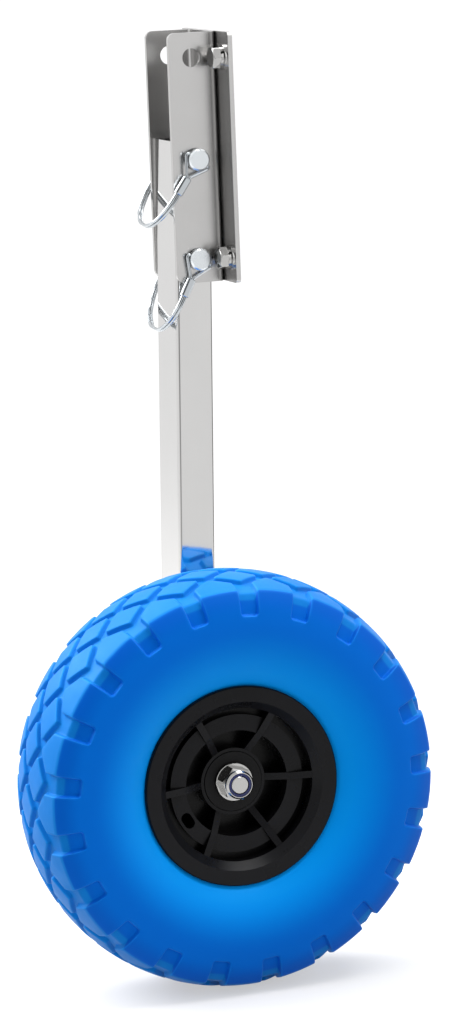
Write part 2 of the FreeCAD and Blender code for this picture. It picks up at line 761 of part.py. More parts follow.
def tread_lugs():
    """Every raised block: three rows of diamonds and a row of notched lugs on each shoulder."""
    pitch = math.pi * tyre_d / lug_count
    row = diamond_rows_half_width
    slope = row / pitch
    along = groove_width / 2.0 / math.sin(math.atan(slope))
    across = groove_width / 2.0 / math.cos(math.atan(slope))
    half_u = pitch / 2.0 - along
    half_v = row / 2.0 - across
    diamond_slice = lug_layer(diamond_slice_share * lug_pitch_deg)
    shoulder_slice = lug_layer(lug_share * lug_pitch_deg)

    def diamond(middle_y):
        outline = [(half_u, middle_y), (0, middle_y + half_v), (-half_u, middle_y), (0, middle_y - half_v)]
        return diamond_slice.common(radial_prism(outline))

    def shoulder_lug(side):
        tip = row / 2.0 + across
        end = tip + slope * pitch
        outline = [(0, tip), (pitch, end), (pitch, tyre_width), (-pitch, tyre_width), (-pitch, end)]
        return shoulder_slice.common(radial_prism([(u, side * y) for u, y in outline]))

    between_notches = [shoulder_lug(-1), shoulder_lug(1), diamond(0.0)]
    at_notches = [diamond(-row / 2.0), diamond(row / 2.0)]
    lugs = []
    for i in range(lug_count):
        at = lug_phase_deg + i * lug_pitch_deg
        lugs += [spun(block, at) for block in between_notches]
        lugs += [spun(block, at + lug_pitch_deg / 2.0) for block in at_notches]
    return lugs


def tyre():
    """The foam tyre with its tread."""
    solid = tyre_carcass().multiFuse(tread_lugs())
    solid.translate(FreeCAD.Vector(0, wheel_mid_y, 0))
    return solid


def build():
    """Every node of the part by name."""
    upper = (upper_pin_at, neck_y_of(upper_head_stand_off), upper_bail_deg)
    lower = (lower_pin_at, neck_y_of(lower_head_stand_off), lower_bail_deg)
    nodes = {
        "base_plate": base_plate(),
        "channel": channel(),
        "leg_tube": in_leg_frame(leg_tube()),
        "transom_bolts": at_every_bolt(transom_bolt),
        "transom_flat_washers": at_every_bolt(flat_washer),
        "transom_spring_washers": at_every_bolt(spring_washer),
        "axle_bolt": wheel_frame(axle_bolt()),
        "axle_head_washer": wheel_frame(axle_washer(leg_width / 2.0)),
        "axle_leg_washer": wheel_frame(axle_washer(near_washer_y)),
        "axle_outer_washer": wheel_frame(axle_washer(outer_washer_y)),
        "axle_nut": wheel_frame(axle_nut()),
        "nylon_insert": wheel_frame(nylon_insert()),
        "hub_sleeve": wheel_frame(hub_sleeve()),
        "rim_near": wheel_frame(rim_near()),
        "rim_far": wheel_frame(rim_far()),
        "hub_bush_near": wheel_frame(bush(-1, hub_near_y)),
        "hub_bush_far": wheel_frame(bush(1, hub_far_y)),
        "tyre": wheel_frame(tyre()),
    }
    for name, place in (("upper", upper), ("lower", lower)):
        nodes[name + "_pin"] = in_pin_frame(pin_body(), *place)
        nodes[name + "_bail"] = in_pin_frame(bail(), *place)
        nodes[name + "_ferrule"] = in_pin_frame(ferrule(), *place)
    return nodes


def main():
    """Writes one STEP file for each node."""
    os.makedirs("parts", exist_ok=True)
    for name, shape in build().items():
        shape.exportStep(os.path.join("parts", name + ".step"))


if __name__ == "__main__":
    main()
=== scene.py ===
import json
import math

import bmesh
import bpy
from mathutils import Matrix, Vector
from mathutils.geometry import delaunay_2d_cdt

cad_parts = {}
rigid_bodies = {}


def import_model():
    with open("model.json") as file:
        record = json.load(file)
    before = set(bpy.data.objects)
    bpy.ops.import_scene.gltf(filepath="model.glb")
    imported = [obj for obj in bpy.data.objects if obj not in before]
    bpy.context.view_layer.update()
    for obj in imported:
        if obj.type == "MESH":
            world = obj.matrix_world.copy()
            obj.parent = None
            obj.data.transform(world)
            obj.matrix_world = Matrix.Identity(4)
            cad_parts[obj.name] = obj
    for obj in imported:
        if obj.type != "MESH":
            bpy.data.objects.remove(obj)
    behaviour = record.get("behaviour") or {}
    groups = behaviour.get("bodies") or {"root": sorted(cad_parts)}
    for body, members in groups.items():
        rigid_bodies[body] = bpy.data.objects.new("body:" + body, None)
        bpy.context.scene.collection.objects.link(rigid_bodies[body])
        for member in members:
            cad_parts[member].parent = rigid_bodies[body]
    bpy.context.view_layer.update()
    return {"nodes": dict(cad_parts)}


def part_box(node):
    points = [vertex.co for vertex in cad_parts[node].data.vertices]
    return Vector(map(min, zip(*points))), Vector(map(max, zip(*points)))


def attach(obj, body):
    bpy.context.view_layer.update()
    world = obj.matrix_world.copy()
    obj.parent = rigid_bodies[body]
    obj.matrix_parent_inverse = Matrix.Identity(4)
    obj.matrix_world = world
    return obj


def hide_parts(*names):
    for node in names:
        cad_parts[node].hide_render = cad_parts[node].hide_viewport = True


bl_info = {
    "name": "Launching Wheel Finish",
    "version": (1, 0, 0),
    "blender": (4, 5, 0),
    "location": "3D View > Sidebar > Launching Wheel",
    "description": (
        "Dresses a dinghy launching wheel, its leg and its transom bracket in their real finishes"
    ),
    "category": "Object",
}

for leftover in list(bpy.data.objects):
    bpy.data.objects.remove(leftover)
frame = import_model()
NODES = frame["nodes"]
MM = 0.001

# How finely the meshes are cut
ARC_PIECES = 4
PROFILE_SPACING = 0.25 * MM
BOLT_STEPS = 72
BOLT_EDGE_WIDTH = 0.18 * MM
BOLT_EDGE_ANGLE = math.radians(25.0)

# On the tread, in facets: the steps along a diamond and a shoulder lug, the shoulder's rows, the room
# kept round the edges, the way past the notches and the wall's rows
DIAMOND_STEP, SHOULDER_STEP, SHOULDER_ROWS = 0.75, 0.45, 0.3
FREE_SPACE, PAST_NOTCHES, WALL_ROWS = 0.35, 1.6, 1.2

# How near two places in metres have to be to count as one
WELD_DISTANCE = 2e-6
KEYS_PER_METRE = 1e7
SAME_PLACE = 1e-7
BORDER_SLACK = 1e-6
EXACT = 1e-9

# A lug's soft edge, from its top to the groove's floor: (place across in softnesses, share of the depth)
EDGE_STEPS = [
    (-1.25, 0.0), (-0.7, 0.05), (-0.3, 0.2), (-0.05, 0.42),
    (0.25, 0.68), (0.5, 0.86), (0.85, 0.96), (1.5, 1.0),
]

# Painted highlight on sharp edges and painted shade in creases: how sharp an edge or a crease is where its
# colour begins and where it is full, and its strength there
EDGE_HIGHLIGHT = (0.515, 0.56, 0.35)
CREASE_SHADE = (0.485, 0.44, 0.5)

# Painted shade in plastic pockets: how far off a wall counts, how open a place is where the shade is
# darkest and where its colour is full, and the level of the darkest
POCKET_REACH = 22.0 * MM
CLOSED_PLACE, OPEN_PLACE, POCKET_SHADE_LEVEL = 0.25, 0.95, 0.12

# The camera's sensor in millimetres, its reach in metres, and its own right and back
SENSOR_WIDTH = 36.0
CAMERA_REACH = 60.0
CAMERA_RIGHT = Vector((0.93621, -0.349371, -0.038104))
CAMERA_BACK = Vector((-0.338987, -0.926315, 0.164401))

# The floor in metres: half its size, how it is narrowed, leant over and moved to fill the picture, its
# gap under the tyre, and where its near glow ends and its far one begins
FLOOR_HALF = 14.0
FLOOR_NARROW, FLOOR_LEAN, FLOOR_ACROSS, FLOOR_BACK = 0.5, 0.45, -6.1, 13.0
FLOOR_GAP = 0.0002
GLOW_FROM, GLOW_TO = 0.8, 3.4

# Each lamp's share of the key power, its place and its size in metres
LAMPS = {
    "key": (2.4, (-1.1, 0.75, 1.0), 1.5),
    "top": (0.95, (0.53, -0.24, 1.1), 0.9),
    "fill": (0.2, (0.9, -1.9, 0.9), 1.6),
}
LAMPS_AIM = Vector((-0.03, -0.05, -0.3))

# The dark sides of the studio that steel mirrors: their directions, and the cosines at which they begin
# and are full
CAMERA_SIDE = ((-0.34, -0.90, 0.27), 0.80, 0.99)
FLAG_SIDE = ((0.986, 0.0, -0.164), 0.93, 0.985)

# How a steel's lines are stretched: not at all on turned and drawn pieces
EVEN = (1.0, 1.0, 1.0)


# Node helpers


def node_material(name):
    """A new material with an empty node tree and its Principled shader wired to the output."""
    material = bpy.data.materials.new(name)
    material.use_nodes = True
    tree = material.node_tree
    tree.nodes.clear()
    output = tree.nodes.new("ShaderNodeOutputMaterial")
    shader = tree.nodes.new("ShaderNodeBsdfPrincipled")
    tree.links.new(shader.outputs["BSDF"], output.inputs["Surface"])
    return material, tree, shader


def add_node(tree, kind, inputs=None, **settings):
    """A node with its settings, whose inputs are numbers, colours or other nodes' outputs."""
    node = tree.nodes.new(kind)
    for key, value in settings.items():
        setattr(node, key, value)
    for key, value in (inputs or {}).items():
        if isinstance(value, bpy.types.NodeSocket):
            tree.links.new(value, node.inputs[key])
        else:
            node.inputs[key].default_value = value
    return node


def math_node(tree, operation, first, second=0.0):
    """The result of one sum on two values."""
    node = add_node(tree, "ShaderNodeMath", {0: first, 1: second}, operation=operation)
    return node.outputs[0]


def vector_node(tree, operation, first, second=(0.0, 0.0, 0.0)):
    """The result of one sum on two vectors, which is a number for a length or a product."""
    node = add_node(tree, "ShaderNodeVectorMath", {0: first, 1: second}, operation=operation)
    return node.outputs["Value" if operation in ("LENGTH", "DOT_PRODUCT") else "Vector"]


def noise_node(tree, place, size_mm, detail, roughness=0.5):
    """Noise at a place, with patches of about this size."""
    scale = math_node(tree, "DIVIDE", 1.0 / MM, size_mm)
    values = {"Vector": place, "Scale": scale, "Detail": detail, "Roughness": roughness}
    return add_node(tree, "ShaderNodeTexNoise", values).outputs["Fac"]


def span(tree, value, low, high, to_low=0.0, to_high=1.0):
    """The value's place between low and high, softened at both ends."""
    values = {"Value": value, "From Min": low, "From Max": high, "To Min": to_low, "To Max": to_high}
    node = add_node(tree, "ShaderNodeMapRange", values, interpolation_type="SMOOTHSTEP")
    return node.outputs["Result"]


def mixed(tree, factor, first, second):
    """A colour between the first and the second."""
    node = add_node(tree, "ShaderNodeMix", {"Factor": factor, 6: first, 7: second}, data_type="RGBA")
    return node.outputs[2]


def rgba(colour, level=1.0):
    """A colour with alpha, made lighter or darker by a level."""
    return (*[min(1.0, channel * level) for channel in colour], 1.0)


def new_group(name, inputs, outputs):
    """An empty shader group with named sockets, and the tree to fill."""
    group = bpy.data.node_groups.new(name, "ShaderNodeTree")
    for label, kind, default in inputs:
        group.interface.new_socket(label, in_out="INPUT", socket_type=kind).default_value = default
    for label, kind in outputs:
        group.interface.new_socket(label, in_out="OUTPUT", socket_type=kind)
    source = group.nodes.new("NodeGroupInput")
    sink = group.nodes.new("NodeGroupOutput")
    return group, source.outputs, sink.inputs


def grain_group():
    """Fine mould or skin grain with slow patches, for plastics and foam."""
    name = "Moulded Grain"
    if name in bpy.data.node_groups:
        return bpy.data.node_groups[name]
    group, given, put = new_group(
        name,
        [("Grain Size", "NodeSocketFloat", 0.6), ("Patch Size", "NodeSocketFloat", 30.0)],
        [("Height", "NodeSocketFloat"), ("Patches", "NodeSocketFloat")],
    )
    place = add_node(group, "ShaderNodeTexCoord").outputs["Object"]
    fine = noise_node(group, place, given["Grain Size"], 3.0)
    slow = noise_node(group, place, given["Patch Size"], 4.0, roughness=0.6)
    group.links.new(fine, put["Height"])
    group.links.new(span(group, slow, 0.35, 0.65), put["Patches"])
    return group


def brushed_group():
    """Long parallel lines from a belt or a roller, and the faint smears of handling."""
    name = "Rolled Steel"
    if name in bpy.data.node_groups:
        return bpy.data.node_groups[name]
    group, given, put = new_group(
        name,
        [
            ("Line Stretch", "NodeSocketVector", (1.0, 1.0, 0.02)),
            ("Line Size", "NodeSocketFloat", 0.4),
            ("Smear Size", "NodeSocketFloat", 25.0),
        ],
        [("Lines", "NodeSocketFloat"), ("Smears", "NodeSocketFloat")],
    )
    place = add_node(group, "ShaderNodeTexCoord").outputs["Object"]
    stretched = vector_node(group, "MULTIPLY", place, given["Line Stretch"])
    lines = noise_node(group, stretched, given["Line Size"], 2.0)
    smears = noise_node(group, place, given["Smear Size"], 3.0)
    group.links.new(lines, put["Lines"])
    group.links.new(span(group, smears, 0.25, 0.8), put["Smears"])
    return group


def placed_group(tree, group, values):
    """The group in a material, with this material's own values."""
    node = tree.nodes.new("ShaderNodeGroup")
    node.node_tree = group
    for key, value in values.items():
        node.inputs[key].default_value = value
    return node.outputs


def wire_bump(tree, shader, height, strength, distance_mm):
    """Puts a height into the shader's normal."""
    values = {"Strength": strength, "Distance": distance_mm * MM, "Height": height}
    bump = add_node(tree, "ShaderNodeBump", values)
    tree.links.new(bump.outputs["Normal"], shader.inputs["Normal"])


def steel_material(name, colour, roughness, stretch, line_size, line_depth, smear):
    """Stainless or plated steel with its lines, smears and slow change of tone."""
    material, tree, shader = node_material(name)
    values = {"Line Stretch": stretch, "Line Size": line_size, "Smear Size": 24.0}
    lines = placed_group(tree, brushed_group(), values)
    rough = math_node(tree, "MULTIPLY_ADD", lines["Smears"], smear)
    rough.node.inputs[2].default_value = roughness
    smeared, lined = rgba(colour, 0.955), rgba(colour, 0.97)
    tone = mixed(tree, lines["Smears"], rgba(colour), smeared)
    shade = mixed(tree, span(tree, lines["Lines"], 0.3, 0.7), tone, lined)
    tree.links.new(shade, shader.inputs["Base Color"])
    tree.links.new(rough, shader.inputs["Roughness"])
    shader.inputs["Metallic"].default_value = 1.0
    wire_bump(tree, shader, lines["Lines"], strength=line_depth, distance_mm=0.02)
    return material


def plastic_material(name, colour, roughness, grain_size, grain_depth, patch, shine):
    """Moulded plastic with its grain and the slow patches of its skin, with painted shade deep in its
    pockets.
    """
    material, tree, shader = node_material(name)
    grain = placed_group(tree, grain_group(), {"Grain Size": grain_size, "Patch Size": 28.0})
    tone = mixed(tree, grain["Patches"], rgba(colour), rgba(colour, 1.0 + patch))
    # Painted shade: places that walls close in are darkened towards black by ambient occlusion.
    walls = add_node(tree, "ShaderNodeAmbientOcclusion", {"Distance": POCKET_REACH}, samples=8)
    lit = span(tree, walls.outputs["AO"], CLOSED_PLACE, OPEN_PLACE, POCKET_SHADE_LEVEL, 1.0)
    tone = mixed(tree, lit, (0.0, 0.0, 0.0, 1.0), tone)
    shader.inputs["Specular IOR Level"].default_value = shine
    rough = span(tree, grain["Patches"], 0.0, 1.0, roughness, roughness + 0.08)
    tree.links.new(tone, shader.inputs["Base Color"])
    tree.links.new(rough, shader.inputs["Roughness"])
    wire_bump(tree, shader, grain["Height"], strength=grain_depth, distance_mm=0.05)
    return material


def dress(node_names, material):
    """Gives the material to the CAD nodes in their own slots."""
    for node_name in node_names:
        slots = NODES[node_name].data.materials
        for index in range(len(slots)):
            slots[index] = material


def finished(mesh, name):
    """The mesh as data for an object."""
    data = bpy.data.meshes.new(name)
    mesh.to_mesh(data)
    mesh.free()
    return data


def new_piece(name, mesh, body, material, replaced):
    """Links a finished mesh as a piece of the object on its body, in the place of its nodes."""
    piece = bpy.data.objects.new(name, mesh)
    bpy.context.scene.collection.objects.link(piece)
    mesh.materials.append(material)
    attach(piece, body)
    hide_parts(*replaced)
    return piece


# Tread and tyre


def straight(start, end, normal, step, with_end=False):
    """Points between two places, without the first, at about one step."""
    pieces = max(1, round((end - start).length / step))
    last = pieces + 1 if with_end else pieces
    return [(start.lerp(end, k / pieces), normal) for k in range(1, last)]


def corner_arc(before, corner, after, radius):
    """The rounded corner of an outline as points with outward normals; the outside is on the right."""
    into, out = (corner - before).normalized(), (after - corner).normalized()
    turn = math.atan2(into.x * out.y - into.y * out.x, into.dot(out))
    side = math.copysign(1.0, turn)
    start = corner - into * radius * math.tan(abs(turn) / 2.0)
    normal = Vector((into.y, -into.x))
    centre = start - normal * radius * side
    spread = [Matrix.Rotation(turn * k / ARC_PIECES, 2) @ normal for k in range(ARC_PIECES + 1)]
    return [(centre + here * radius * side, here) for here in spread]


def closed_outline(corners, radius, step):
    """A closed outline with rounded corners, counter-clockwise."""
    count = len(corners)
    arcs = [corner_arc(corners[i - 1], corners[i], corners[(i + 1) % count], radius) for i in range(count)]
    trail = []
    for arc, following in zip(arcs, arcs[1:] + arcs[:1]):
        trail += arc + straight(arc[-1][0], following[0][0], arc[-1][1], step)
    return trail


def open_outline(corners, radius, step):
    """An open outline with rounded corners between its two ends."""
    first_way = (corners[1] - corners[0]).normalized()
    trail = [(corners[0], Vector((first_way.y, -first_way.x)))]
    for before, corner, after in zip(corners, corners[1:], corners[2:]):
        arc = corner_arc(before, corner, after, radius)
        trail += straight(trail[-1][0], arc[0][0], arc[0][1], step) + arc
    last_way = (corners[-1] - corners[-2]).normalized()
    return trail + straight(trail[-1][0], corners[-1], Vector((last_way.y, -last_way.x)), step, True)


def arc_points(start, middle, end):
    """Points on the arc through three (radius, offset) points, without its end."""
    ax, ay, bx, by, cx, cy = *start, *middle, *end
    d = 2.0 * (ax * (by - cy) + bx * (cy - ay) + cx * (ay - by))
    sa, sb, sc = ax * ax + ay * ay, bx * bx + by * by, cx * cx + cy * cy
    centre = Vector((
        (sa * (by - cy) + sb * (cy - ay) + sc * (ay - by)) / d,
        (sa * (cx - bx) + sb * (ax - cx) + sc * (bx - ax)) / d,
    ))
    arm = Vector(start) - centre
    sweep = 2.0 * (Vector(middle) - centre).angle_signed(arm)
    if sweep == 0.0:
        raise ValueError("the arc's points lie on a line")
    far = (Vector(end) - centre).angle_signed(arm)
    sweep = far if far * sweep > 0 else far + math.copysign(2.0 * math.pi, sweep)
    pieces = max(2, round(abs(sweep) * arm.length / PROFILE_SPACING))
    return [centre + Matrix.Rotation(sweep * k / pieces, 2) @ arm for k in range(pieces)]


class TyreProfile:
    """Half of the tyre's outer section, from the crown to the bead, by the length along it."""

    def __init__(self, look, outer_r, half_width):
        self.shoulder = shoulder = (outer_r - look.shoulder_drop, half_width - look.shoulder_inset)
        self.half_width = half_width
        self.bulge_r = look.bulge_radius
        self.side_fall = look.shoulder_inset - look.wall_over_shoulder
        notch = self.side_point(look.notch_end_radius)
        bulge = (look.bulge_radius, half_width)
        bead = (look.bead_radius, look.bead_offset)
        belly = (0.5 * (bead[0] + bulge[0]) - look.belly_in, half_width - look.belly_drop)
        crown = (outer_r, 0.0)
        mirrored = (shoulder[0], -shoulder[1])
        over_top = arc_points(mirrored, crown, shoulder)
        half = len(over_top) // 2
        middle = self.side_point(0.5 * (look.notch_end_radius + shoulder[0]))
        upper = self.side_point(0.5 * (look.bulge_radius + look.notch_end_radius))
        walls = arc_points(shoulder, middle, notch)
        walls += arc_points(notch, upper, bulge)
        walls += arc_points(bulge, belly, bead) + [Vector(bead)]
        corner = len(over_top) - half
        points = over_top[half:] + walls
        reach = round(look.shoulder_round / PROFILE_SPACING)
        a, b, c = points[corner - reach], points[corner].copy(), points[corner + reach]
        for k in range(-reach, reach + 1):
            f = (k + reach) / (2.0 * reach)
            points[corner + k] = a * (1 - f) ** 2 + b * 2 * f * (1 - f) + c * f * f
        points[0] = Vector(crown)
        self.points = points
        self.lengths = [0.0]
        for here, there in zip(points, points[1:]):
            self.lengths.append(self.lengths[-1] + (there - here).length)
        self.total = self.lengths[-1]
        ways = [Vector((0.0, 1.0))] + [(c - a).normalized() for a, c in zip(points, points[2:])]
        ways.append((points[-1] - points[-2]).normalized())
        reach = round(look.shoulder_blend / PROFILE_SPACING)
        self.inward = []
        for k in range(len(ways)):
            near = ways[max(0, k - reach):k + reach + 1]
            way = sum(near, Vector((0.0, 0.0)))
            if k < reach:
                way.x -= sum(w.x for w in ways[1:reach - k + 1])
            way.normalize()
            self.inward.append(Vector((-way.y, way.x)))

    def side_point(self, r):
        """The side wall's point at this radius."""
        share = (r - self.bulge_r) / (self.shoulder[0] - self.bulge_r)
        return (r, self.half_width - self.side_fall * share ** 2)

    def at(self, length, depth):
        """The (radius, offset) point this far along the section and this deep under it."""
        side = -1.0 if length < 0 else 1.0
        wanted = min(abs(length), self.total)
        low = min(int(wanted / self.total * (len(self.points) - 1)), len(self.points) - 2)
        while self.lengths[low] > wanted:
            low -= 1
        while self.lengths[low + 1] < wanted and low < len(self.points) - 2:
            low += 1
        share = (wanted - self.lengths[low]) / (self.lengths[low + 1] - self.lengths[low])
        point = self.points[low].lerp(self.points[low + 1], share)
        inward = self.inward[low].lerp(self.inward[low + 1], share)
        place = point + inward * depth
        return place.x, side * place.y

    def length_at(self, test):
        """The length at the first point that passes the test."""
        for length, point in zip(self.lengths, self.points):
            if test(point):
                return length
        raise ValueError("the section never gets there")


def inside(point, polygon):
    """True if the point lies in the closed polygon."""
    hit = False
    x, y = point
    for a, b in zip(polygon, polygon[1:] + polygon[:1]):
        if (a[1] > y) != (b[1] > y) and x < (b[0] - a[0]) * (y - a[1]) / (b[1] - a[1]) + a[0]:
            hit = not hit
    return hit


def tread_sector(look, profile, pitch):
    """One lug's width of the tread as flat (round, across, depth) vertices and faces."""
    row = look.diamond_rows
    slope = row / pitch
    slant = math.atan(slope)
    half_groove, half_pitch = look.groove_width / 2.0, pitch / 2.0
    along, across = half_groove / math.sin(slant), half_groove / math.cos(slant)
    half_u, half_v = half_pitch - along, row / 2.0 - across
    notch_length = profile.length_at(lambda p: p.x <= look.notch_end_radius and p.y > row)
    shoulder_length = profile.length_at(lambda p: p.y >= profile.shoulder[1] - PROFILE_SPACING)
    grid_end = notch_length + look.facet * PAST_NOTCHES
    lug_half = look.lug_share * half_pitch
    walls = [(t * look.edge_softness, share * look.groove_depth) for t, share in EDGE_STEPS]
    verts, faces, index = [], [], {}

    def vertex(u, s, depth):
        if abs(abs(u) - half_pitch) < SAME_PLACE:
            u = math.copysign(half_pitch, u)
        key = (round(u * KEYS_PER_METRE), round(s * KEYS_PER_METRE))
        if key not in index:
            index[key] = len(verts)
            verts.append((u, s, depth))
        return index[key]

    def diamond(middle_u, middle_v):
        corners = [(half_u, 0.0), (0.0, half_v), (-half_u, 0.0), (0.0, -half_v)]
        corners = [Vector((middle_u + u, middle_v + v)) for u, v in corners]
        return closed_outline(corners, look.corner_round, look.facet * DIAMOND_STEP)

    def side(sign):
        tip = row / 2.0 + across
        knee = tip + slope * lug_half
        corners = [
            (-half_pitch, notch_length), (-lug_half, notch_length), (-lug_half, knee), (0.0, tip),
            (lug_half, knee), (lug_half, notch_length), (half_pitch, notch_length),
        ]
        corners = [Vector(corner) for corner in corners]
        trail = open_outline(corners, look.corner_round, look.facet * SHOULDER_STEP)
        return [(Vector((p.x, sign * p.y)), Vector((n.x, sign * n.y))) for p, n in trail]

    outlines = [(diamond(0.0, 0.0), True)]
    for middle_u in (-half_pitch, half_pitch):
        outlines += [(diamond(middle_u, middle_v), True) for middle_v in (-row / 2.0, row / 2.0)]
    outlines += [(side(-1.0), False), (side(1.0), False)]

    def kept(p):
        return abs(p.x) <= half_pitch + BORDER_SLACK

    flat_points, flat_depth, flat_edges = [], {}, []
    tops, floors = [], []

    def flat(p, depth):
        number = vertex(p.x, p.y, depth)
        if number not in flat_depth:
            flat_depth[number] = depth
            flat_points.append(number)
        return number

    for trail, closed in outlines:
        rings = [[p + n * t for p, n in trail] for t, _ in walls]
        ends = [*range(len(trail)), 0] if closed else [*range(len(trail))]
        pairs = list(zip(ends, ends[1:]))
        for (_, d0), (_, d1), inner, outer in zip(walls, walls[1:], rings, rings[1:]):
            for i, j in pairs:
                loop = [(inner[i], d0), (outer[i], d1), (outer[j], d1), (inner[j], d0)]
                if all(kept(p) for p, _ in loop):
                    numbers = [vertex(p.x, p.y, d) for p, d in loop]
                    if len(set(numbers)) > 2:
                        faces.append(list(dict.fromkeys(numbers)))
        for ring, depth in ((rings[0], 0.0), (rings[-1], look.groove_depth)):
            for i, j in pairs:
                if kept(ring[i]) and kept(ring[j]):
                    flat_edges.append((flat(ring[i], depth), flat(ring[j], depth)))
        if closed:
            tops.append([tuple(p) for p in rings[0]])
            floors.append([tuple(p) for p in rings[-1]])
        else:
            out = half_pitch * 1.5
            edge = math.copysign(2.0 * profile.total, trail[0][0].y)
            close = [(out, trail[-1][0].y), (out, edge), (-out, edge), (-out, trail[0][0].y)]
            tops.append([tuple(p) for p in rings[0]] + close)
            floors.append([tuple(p) for p in rings[-1]] + close)

    def depth_at(u, s):
        if any(inside((u, s), polygon) for polygon in tops):
            return 0.0
        if any(inside((u, s), polygon) for polygon in floors):
            return None
        return look.groove_depth

    columns = round(pitch / look.facet)
    grid_us = [half_pitch * (2.0 * k / columns - 1.0) for k in range(columns + 1)]
    rows_s = [k * look.facet for k in range(int(shoulder_length / look.facet))]
    rows_s += [shoulder_length + k * SHOULDER_ROWS * look.facet for k in range(-2, 4)]
    last = int((grid_end - shoulder_length) / look.facet)
    rows_s += [shoulder_length + k * look.facet for k in range(2, last)]
    clearance = FREE_SPACE * look.facet
    fixed = [Vector(verts[number][:2]) for number in flat_points]
    for s in sorted({sign * s for s in rows_s for sign in (-1.0, 1.0)}):
        for k, u in enumerate(grid_us):
            depth = depth_at(u * (1.0 - BORDER_SLACK), s)
            p = Vector((u, s))
            if depth is None or min((p - q).length for q in fixed) < clearance:
                continue
            flat(p, depth)
            if k in (0, columns):
                fixed.append(p)
    for sign in (-1.0, 1.0):
        rim = [flat(Vector((u, sign * grid_end)), 0.0) for u in grid_us]
        flat_edges += list(zip(rim, rim[1:]))

    def bordering(a, b):
        return all(abs(abs(verts[n][0]) - half_pitch) < EXACT for n in (a, b))

    place = {number: k for k, number in enumerate(flat_points)}
    wanted = [(place[a], place[b]) for a, b in flat_edges if a != b and not bordering(a, b)]
    flat_coords = [Vector(verts[number][:2]) for number in flat_points]
    _, _, triangles, origin, _, _ = delaunay_2d_cdt(flat_coords, wanted, [], 0, EXACT)
    for triangle in triangles:
        numbers = [flat_points[origin[k][0]] if origin[k] else None for k in triangle]
        if None in numbers or len(set(numbers)) < 3:
            continue
        middle = sum((Vector(verts[n][:2]) for n in numbers), Vector((0.0, 0.0))) / 3.0
        if depth_at(*middle) is not None:
            faces.append(numbers)
    steps = max(4, round((profile.total - grid_end) / (WALL_ROWS * look.facet)))
    for sign in (-1.0, 1.0):
        rows = [sign * (grid_end + (profile.total - grid_end) * k / steps) for k in range(steps + 1)]
        for s0, s1 in zip(rows, rows[1:]):
            for u0, u1 in zip(grid_us, grid_us[1:]):
                quad = [(u0, s0), (u1, s0), (u1, s1), (u0, s1)]
                faces.append([vertex(u, s, 0.0) for u, s in quad])
    return verts, faces, grid_us


def facing(face, verts):
    """The face turned so that it runs counter-clockwise in the flat."""
    area = 0.0
    for a, b in zip(face, face[1:] + face[:1]):
        area += verts[a][0] * verts[b][1] - verts[b][0] * verts[a][1]
    return face if area > 0 else face[::-1]


def tyre_mesh(look, outer_r, half_width, centre):
    """The whole tyre: the tread and walls from one sector repeated, and the seat under the rim."""
    profile = TyreProfile(look, outer_r, half_width)
    pitch = 2.0 * math.pi * outer_r / look.lug_count
    verts, faces, grid_us = tread_sector(look, profile, pitch)
    faces = [facing(face, verts) for face in faces]
    mesh = bmesh.new()
    flat = [(u, *profile.at(s, depth)) for u, s, depth in verts]
    seat = [
        (look.bead_radius, look.bead_offset),
        (look.bead_seat_radius, look.bead_seat_offset),
        (look.barrel_radius, look.barrel_offset),
    ]
    seat += [(r, -off) for r, off in reversed(seat)]

    def placed(start, u, r, off):
        angle = start + u / outer_r
        return mesh.verts.new((r * math.cos(angle), -off, r * math.sin(angle)))

    for turn in range(look.lug_count):
        start = look.lug_phase + turn * 2.0 * math.pi / look.lug_count
        made = [placed(start, *point) for point in flat]
        for face in faces:
            mesh.faces.new([made[k] for k in face])
        for u0, u1 in zip(grid_us, grid_us[1:]):
            for (r0, off0), (r1, off1) in zip(seat, seat[1:]):
                quad = [(u0, r0, off0), (u1, r0, off0), (u1, r1, off1), (u0, r1, off1)]
                mesh.faces.new([placed(start, *corner) for corner in quad])
    bmesh.ops.remove_doubles(mesh, verts=mesh.verts, dist=WELD_DISTANCE)
    bmesh.ops.recalc_face_normals(mesh, faces=mesh.faces)
    if mesh.calc_volume(signed=True) < 0:
        bmesh.ops.reverse_faces(mesh, faces=mesh.faces)
    for face in mesh.faces:
        face.smooth = True
    mesh.transform(Matrix.Translation(centre))
    return finished(mesh, "foam_tyre")


def wheel_place(tree, centre):
    """The distance from the wheel's axis, and from its middle along the axis."""
    place = add_node(tree, "ShaderNodeTexCoord").outputs["Object"]
    moved = vector_node(tree, "SUBTRACT", place, centre)
    flat = vector_node(tree, "MULTIPLY", moved, (1.0, 0.0, 1.0))
    along = add_node(tree, "ShaderNodeSeparateXYZ", {"Vector": moved}).outputs["Y"]
    return vector_node(tree, "LENGTH", flat), math_node(tree, "ABSOLUTE", along)


